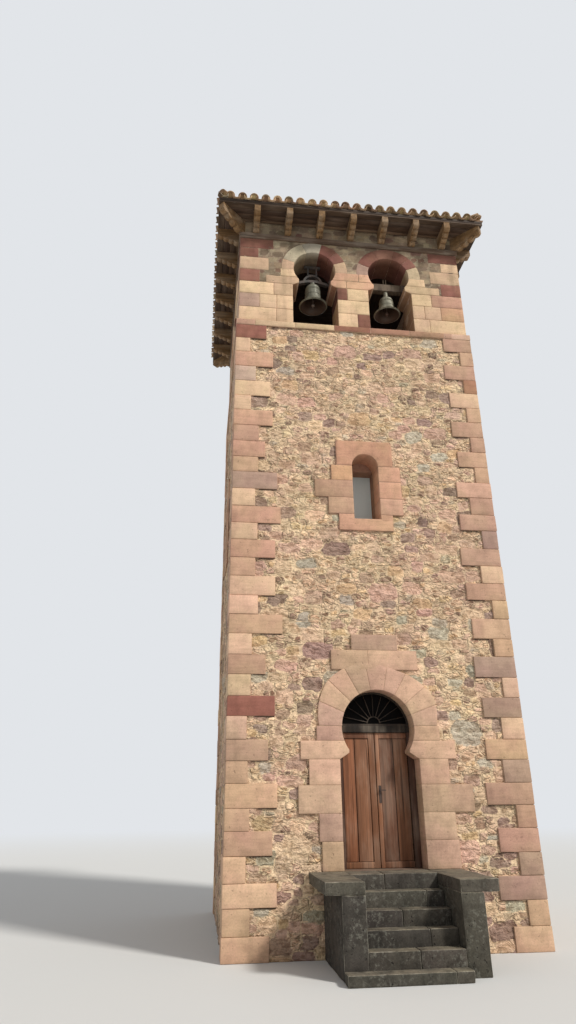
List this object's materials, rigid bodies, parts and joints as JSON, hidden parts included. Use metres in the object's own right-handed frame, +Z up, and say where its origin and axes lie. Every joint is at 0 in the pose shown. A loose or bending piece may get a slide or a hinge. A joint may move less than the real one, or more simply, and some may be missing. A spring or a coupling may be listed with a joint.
{
  "type": "bell tower",
  "caption": "Free-standing stone bell tower with a horseshoe-arched doorway up a flight of steps, an open arched belfry with swinging bells and a low tiled hipped roof.",
  "frame": {"origin": "centre of the tower's plan, at ground level", "axes": "+Z up, the doorway and the bells look towards -Y, +X to the right seen from the front"},
  "size_m": [5.416, 6.408, 13.9291],
  "materials": {
    "rubble": "rough rubble with wide mortar joints",
    "dressed_stone": "dressed blocks, weathered",
    "belfry_stone": "dressed blocks, lichen and weather stains",
    "paving": "worn paving",
    "concrete": "dark cast concrete, worn at the edges",
    "floor_timber": "sawn boards, grey with age",
    "eave_timber": "weathered brown timber",
    "door_timber": "brown stained boards, faded",
    "roof_tile": "fired clay barrel tiles, weathered",
    "dark_glass": "dark dusty glass",
    "iron": "black forged iron",
    "clapper_iron": "forged iron, bright where it strikes",
    "yoke_iron": "painted casting, dull",
    "beam_steel": "painted steel, dull",
    "bronze": "bell bronze with a grey-green patina"
  },
  "bodies": {
    "tower": {"ground_floor": "paving", "middle_floor": "floor_timber", "belfry_floor": "floor_timber", "front_wall_left": "rubble", "front_wall_right": "rubble", "front_wall_upper": "rubble", "back_wall": "rubble", "right_wall": "rubble", "left_wall": "rubble", "door_sill": "rubble", "door_lintel": "dressed_stone", "door_surround": "dressed_stone", "quoins": "dressed_stone", "window_surrounds": "dressed_stone", "window_panes": "dark_glass", "sill_course": "dressed_stone", "belfry_corner_piers": "belfry_stone", "belfry_middle_piers": "belfry_stone", "front_arches": "belfry_stone", "right_arches": "belfry_stone", "back_arches": "belfry_stone", "left_arches": "belfry_stone", "wall_plate": "belfry_stone", "eave_corbels": "eave_timber", "corner_corbels": "eave_timber", "eave_wall": "belfry_stone", "eave_soffit": "eave_timber", "front_roof": "roof_tile", "right_roof": "roof_tile", "back_roof": "roof_tile", "left_roof": "roof_tile", "door_frame": "door_timber", "fanlight_frame": "door_timber", "fanlight_glass": "dark_glass", "door_hinge_pins": "iron", "bell_bearings": "iron", "left_cheek_wall": "concrete", "right_cheek_wall": "concrete", "cheek_copings": "concrete", "step_1": "concrete", "step_2": "concrete", "step_3": "concrete", "step_4": "concrete", "step_5": "concrete", "step_6": "concrete"},
    "left_leaf": {"left_door_leaf": "door_timber", "left_door_straps": "iron"},
    "right_leaf": {"right_door_leaf": "door_timber", "right_door_straps": "iron", "handle_plate": "iron"},
    "handle": {"handle_lever": "iron"},
    "left_bell": {"left_bell": "bronze", "left_bell_yoke": "yoke_iron"},
    "left_clapper": {"left_clapper": "clapper_iron"},
    "right_bell": {"right_bell": "bronze", "right_bell_yoke": "beam_steel"},
    "right_clapper": {"right_clapper": "clapper_iron"}
  },
  "joints": [
    {"name": "left_leaf_hinge", "type": "hinge", "parent": "tower", "child": "left_leaf", "pos_m": [-0.524, -1.9107, 1.02], "axis": [0, 0, 1], "range_deg": [0, 90]},
    {"name": "right_leaf_hinge", "type": "hinge", "parent": "tower", "child": "right_leaf", "pos_m": [0.494, -1.9107, 1.02], "axis": [0, 0, 1], "range_deg": [-90, 0]},
    {"name": "handle_turn", "type": "hinge", "parent": "right_leaf", "child": "handle", "pos_m": [0.03, -1.987, 2.04], "axis": [0, 1, 0], "range_deg": [0, 40], "stiffness_Nm_per_rad": 1.2, "springref_deg": -20.05},
    {"name": "left_bell_swing", "type": "hinge", "parent": "tower", "child": "left_bell", "pos_m": [-0.743, -1.92, 11.38], "axis": [1, 0, 0], "range_deg": [-60, 60]},
    {"name": "left_clapper_swing", "type": "hinge", "parent": "left_bell", "child": "left_clapper", "pos_m": [-0.743, -1.92, 11.23008], "axis": [1, 0, 0], "range_deg": [-20, 20]},
    {"name": "right_bell_swing", "type": "hinge", "parent": "tower", "child": "right_bell", "pos_m": [0.743, -1.92, 11.405], "axis": [1, 0, 0], "range_deg": [-60, 60]},
    {"name": "right_clapper_swing", "type": "hinge", "parent": "right_bell", "child": "right_clapper", "pos_m": [0.743, -1.92, 11.07345], "axis": [1, 0, 0], "range_deg": [-22, 22]}
  ]
}
